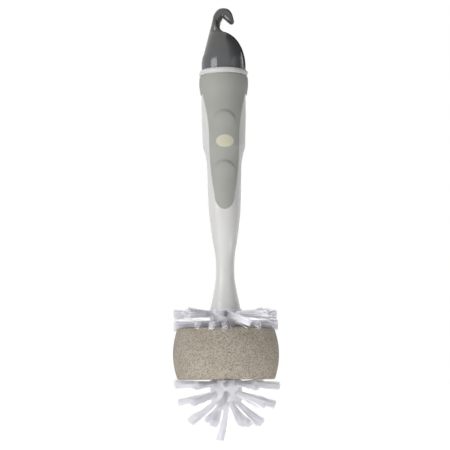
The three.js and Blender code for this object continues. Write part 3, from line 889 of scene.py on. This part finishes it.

# The tufts of each ring: the height and radius where they leave the core, how steeply they slope
# down, how far they reach, how ragged they are, and how far single tips stray (x, y, z) and how
# wide they fan. A tuft with two entries is parted in the middle.
rings = [
    {
        "name": "top_tuft", "piece": "top_ring_nylon", "count": 8, "turn": -90,
        "radius": 10.6, "z": -199.9, "slope": 0, "reach": 24.1, "ragged": 1,
        "stray": {
            0: [(-5, 0.5, -0.4, 0.75), (15, 3, -7.2, 1)], 1: [(4, 0, 0, 1)], 2: [(-0.5, 0, -0.3, 1.2)],
            3: [(0, 0, 2.4, 1)], 5: [(0, 0, 2.4, 1)], 6: [(0, 0, -0.2, 1.15)], 7: [(0, 0, -0.3, 1.2)],
        },
    },
    {
        "name": "second_tuft", "piece": "second_ring_nylon", "count": 8, "turn": -90,
        "radius": 10.6, "z": -206.1, "slope": 0, "reach": 24.2, "ragged": 1,
        "stray": {
            0: [(-8, 0.5, -3.4, 0.9), (-1, 0, -3.4, 1)], 1: [(-3, -2, -2.4, 1)],
            2: [(0, 0, -0.6, 1.2)], 6: [(0, 0, -0.5, 1.3)], 7: [(6, -3, -2.8, 0.95)],
        },
    },
    {
        "name": "lower_tuft", "piece": "lower_ring_nylon", "count": 8, "turn": -90,
        "radius": 10.6, "z": -245.8, "slope": 0, "reach": 24.2, "ragged": 1,
        "stray": {
            0: [(-0.5, 0, 0, 1)], 1: [(-4, -2, -2.5, 1.1)], 2: [(0.8, 0, -2.2, 0.9)],
            7: [(4.5, -2, -0.4, 1)],
        },
    },
    {
        "name": "hub_tuft", "piece": "hub_ring_nylon", "count": 8, "turn": -90,
        "radius": 10.6, "z": -252.6, "slope": 16, "reach": 22.6, "ragged": 1.2,
        "stray": {
            0: [(-4.5, 0, -1, 1.2)], 1: [(1, 0, -0.7, 0.9)], 2: [(0.6, 0, -0.3, 0.8)],
            6: [(0, 0, 0.6, 0.85)], 7: [(0, 0, 0.8, 0.75)],
        },
    },
    {
        "name": "nose_tuft", "piece": "nose_ring_nylon", "count": 8, "turn": -67.5,
        "radius": 8, "z": -257.9, "slope": 43, "reach": 22.4, "ragged": 1.3,
        "stray": {
            0: [(1.8, 0, 0.5, 1.2)], 1: [(1, 0, 0.7, 0.9)], 2: [(0.3, 0, 1.5, 1)],
            3: [(5.5, 0, -1, 1.3)], 4: [(-4, 0, 2.6, 0.75)], 5: [(-0.8, 0, 3.9, 0.6)],
            6: [(-2, 0, 2, 0.6)], 7: [(1, 0, 0.3, 1.1)],
        },
    },
    {
        "name": "end_tuft", "piece": "end_nylon", "count": 1, "turn": 0,
        "radius": 0, "z": -260, "slope": 90, "reach": 23.3, "ragged": 1.6,
        "stray": {0: [(-4.1, 0, 0, 1)]},
    },
]


# Where a ring's tufts leave the core, and which way they point.
def tuftLines(ring):
    turn = np.radians(ring["turn"] + 360 / ring["count"] * np.arange(ring["count"]))
    slope = math.radians(ring["slope"])
    outward = np.stack([np.cos(turn), np.sin(turn), 0 * turn], axis=-1)
    starts = outward * ring["radius"] + [0, 0, ring["z"]]
    return starts, outward * math.cos(slope) - [0, 0, math.sin(slope)]


# The core is one profile turned round the axis: nose, flange, waist under the foam, flange, spigot.
# Round each tuft's line its surface dips into a hole with a soft lip.
core = {
    "radius": 10.6,
    "waist": 9.2,
    "top": -196.55,
    "upperFlange": -209.1,
    "lowerFlange": -243.2,
    "edge": 0.6,
    "noseShoulder": -255.4,
    "noseEdge": 0.3,
    "nose": -260,
    "spigot": 4.0,
    "spigotTop": -177.8,
    "hole": 1.9,
    "lip": 0.25,
    "holeDepth": 0.8,
    "holeReach": 3,
    "noseRows": 30,
    "barrelRows": 44,
    "columns": 240,
}
rise = np.linspace(-np.pi / 2, 0, core["noseRows"])
noseZ = core["noseShoulder"] + (core["noseShoulder"] - core["nose"]) * np.sin(rise)
nose = np.stack([core["radius"] * np.cos(rise), noseZ], axis=-1)
nose[0, 0] = 0
lowerEdge, upperEdge = core["lowerFlange"] - core["edge"], core["upperFlange"] + core["edge"]
topEdge = core["top"] - core["edge"]
lowerBarrel, upperBarrel = [
    np.stack([np.full(core["barrelRows"], core["radius"]), np.linspace(*span, core["barrelRows"])], axis=-1)
    for span in ((core["noseShoulder"] + core["noseEdge"], lowerEdge), (upperEdge, topEdge))
]
waist = roundedPath([
    (core["radius"], lowerEdge, 0),
    (core["radius"], core["lowerFlange"], 0.4),
    (core["waist"], core["lowerFlange"], 0.4),
    (core["waist"], core["upperFlange"], 0.4),
    (core["radius"], core["upperFlange"], 0.4),
    (core["radius"], upperEdge, 0),
])
spigot = roundedPath([
    (core["radius"], topEdge, 0),
    (core["radius"], core["top"], 0.2),
    (core["spigot"], core["top"], 0.4),
    (core["spigot"], core["spigotTop"], 0.9),
    (0, core["spigotTop"], 0),
])
grid = turned(np.concatenate([nose, lowerBarrel, waist, upperBarrel, spigot]), core["columns"])
for ring in rings:
    for start, way in zip(*tuftLines(ring)):
        apart = grid - start
        along = apart @ way
        away = np.sqrt(np.maximum(0, np.sum(apart**2, axis=-1) - along**2))
        dip = 1 - smoothStep(away, core["hole"] - core["lip"], core["hole"] + core["lip"])
        near = np.abs(along) < core["holeReach"]
        grid = grid - way * np.where(near, core["holeDepth"] * dip, 0)[..., None]
mesh = skinOf("core_moulding", grid, crease=45)
addPiece(mesh, corePlastic, "brush_body", ["head_core"])
print("core built")

# Foam barrel: a closed profile turned round the axis, whose surface dips at scattered round pores.
sponge = {
    "top": -209.4,
    "foot": -242.9,
    "bore": 9.5,
    "endRadius": 32,
    "belly": 35,
    "edge": 1.6,
    "edgeInset": 0.1,
    "edgeReach": 1.92,
    "edgeSteps": 9,
    "flatEnd": 29.44,
    "endRows": 25,
    "bellyRows": 104,
    "columns": 440,
    "pores": [{"cell": 1.2, "radius": 0.36, "depth": 0.3}, {"cell": 1.8, "radius": 0.42, "depth": 0.4}],
    "poreFloor": 0.35,
    "saltStep": 17.3,
}


# Distance from points to the nearest of the seeds scattered one to each cell of a cubic lattice. A
# seed's place in its cell is the fraction of a large sine of the cell's mixed coordinates.
def seedDistance(points, cell, salt):
    mixer = np.array([[127.1, 269.5, 113.5], [311.7, 183.3, 271.9], [74.7, 246.1, 124.6]])
    home = np.floor(points / cell)
    nearest = np.full(len(points), np.inf)
    for step in np.ndindex(3, 3, 3):
        corner = home + np.array(step) - 1
        share = np.modf(np.abs(np.sin(corner @ mixer + salt)) * 43758.5453)[0]
        seed = (corner + share) * cell
        nearest = np.minimum(nearest, np.linalg.norm(points - seed, axis=1))
    return nearest


middleZ = (sponge["top"] + sponge["foot"]) / 2
halfHeight = (sponge["top"] - sponge["foot"]) / 2
bellyZ = np.linspace(sponge["foot"] + sponge["edge"], sponge["top"] - sponge["edge"], sponge["bellyRows"])
bellyShare = ((bellyZ - middleZ) / halfHeight) ** 2
bellyRadius = sponge["belly"] + (sponge["endRadius"] - sponge["belly"]) * bellyShare
flatRadius = np.linspace(sponge["bore"], sponge["flatEnd"], sponge["endRows"], endpoint=False)
ends = []
for z, inward in ((sponge["foot"], 1), (sponge["top"], -1)):
    corner = roundedPath(
        [
            (sponge["flatEnd"], z, 0),
            (bellyRadius[0] - sponge["edgeInset"], z, sponge["edgeReach"]),
            (bellyRadius[0], z + inward * sponge["edge"], 0),
        ],
        steps=sponge["edgeSteps"],
    )
    flat = np.stack([flatRadius, np.full(len(flatRadius), z)], axis=-1)
    ends.append(np.concatenate([flat, corner]))
belly = np.stack([bellyRadius, bellyZ], axis=-1)[1:-1]
profile = np.concatenate([ends[0], belly, ends[1][::-1], ends[0][:1]])
steps = np.linalg.norm(np.diff(profile, axis=0), axis=1)
profile = profile[np.append(True, steps > tiny)]  # each row once, so that each has a normal
grid = turned(profile, sponge["columns"])
along = np.gradient(grid, axis=0)
ahead = np.roll(grid, -1, axis=1) - np.roll(grid, 1, axis=1)
normal = np.cross(ahead, along)
normal /= np.maximum(np.linalg.norm(normal, axis=-1, keepdims=True), tiny)
# Each dip is also recorded as poreShade, where the foam's material paints shade into the pore.
poreShade, sunk = np.zeros((2, *grid.shape[:2]))
for number, kind in enumerate(sponge["pores"]):
    away = seedDistance(grid.reshape(-1, 3), kind["cell"], number * sponge["saltStep"])
    away = away.reshape(grid.shape[:2])
    dip = 1 - smoothStep(away, sponge["poreFloor"] * kind["radius"], kind["radius"])
    poreShade = np.maximum(poreShade, dip)
    sunk = np.maximum(sunk, kind["depth"] * dip)
sunk[-1], poreShade[-1] = sunk[0], poreShade[0]
normal[-1] = normal[0]
grid = grid - normal * sunk[..., None]
mesh = skinOf("foam_barrel", grid, {"poreShade": poreShade}, crease=80)
sleeve = addPiece(mesh, foam, "brush_body", ["foam_sleeve"])
print("foam built")

# Bristles: they stand in their hole on a sunflower's spiral and fan out to a straight cut. Each tuft
# leans a little its own way, and each bristle strays a little from it.
rng = np.random.default_rng(tuft["seed"])
count = tuft["bristles"]
spot = np.sqrt((np.arange(count) + 0.5) / count) * tuft["root"]
for ring in rings:
    roots, ways, tips = [], [], []
    starts, lines = tuftLines(ring)
    for index, (start, line) in enumerate(zip(starts, lines)):
        aside = np.cross(line, [0, 0, 1] if abs(line[2]) < steep else [0, 1, 0])
        aside /= np.linalg.norm(aside)
        upward = np.cross(aside, line)
        turn = tuft["goldenTurn"] * np.arange(count) + rng.uniform(0, tuft["firstTurn"])
        offset = (spot * np.cos(turn))[:, None] * aside + (spot * np.sin(turn))[:, None] * upward
        strays = np.array(ring["stray"].get(index, [(0, 0, 0, 1)]))
        parts = strays[np.where(np.cos(turn) > 0, 0, len(strays) - 1)]
        lean = rng.normal(0, tuft["leanAside"]) * aside + rng.normal(0, tuft["leanUp"]) * upward
        wild = np.where(rng.random((count, 1)) < tuft["wildShare"], tuft["wildTimes"], 1)
        strayAside = rng.normal(0, tuft["stray"], (count, 1)) * aside
        strayUp = rng.normal(0, tuft["stray"], (count, 1)) * upward
        stray = ring["ragged"] * wild * (strayAside + strayUp)
        spread = tuft["spread"] * parts[:, 3:] * rng.uniform(*tuft["spreadRange"])
        short = rng.random((count, 1)) + tuft["short"] * rng.random((count, 1)) ** tuft["shortPower"]
        reach = ring["reach"] - ring["ragged"] * short
        root = start + offset - line * tuft["seat"]
        roots.append(root)
        ways.append(np.broadcast_to(line, root.shape))
        tips.append(start + offset * spread + stray + (lean + parts[:, :3]) + line * reach)
    names = [ring["name"]]
    if ring["count"] > 1:
        names = [f"{ring['name']}_{number + 1}" for number in range(ring["count"])]
    roots, ways, tips = np.concatenate(roots), np.concatenate(ways), np.concatenate(tips)
    mesh = rodsMesh(ring["piece"], roots, ways, tips, tuft["bristle"], rng)
    addPiece(mesh, nylon, "brush_body", names)
print("tufts built")
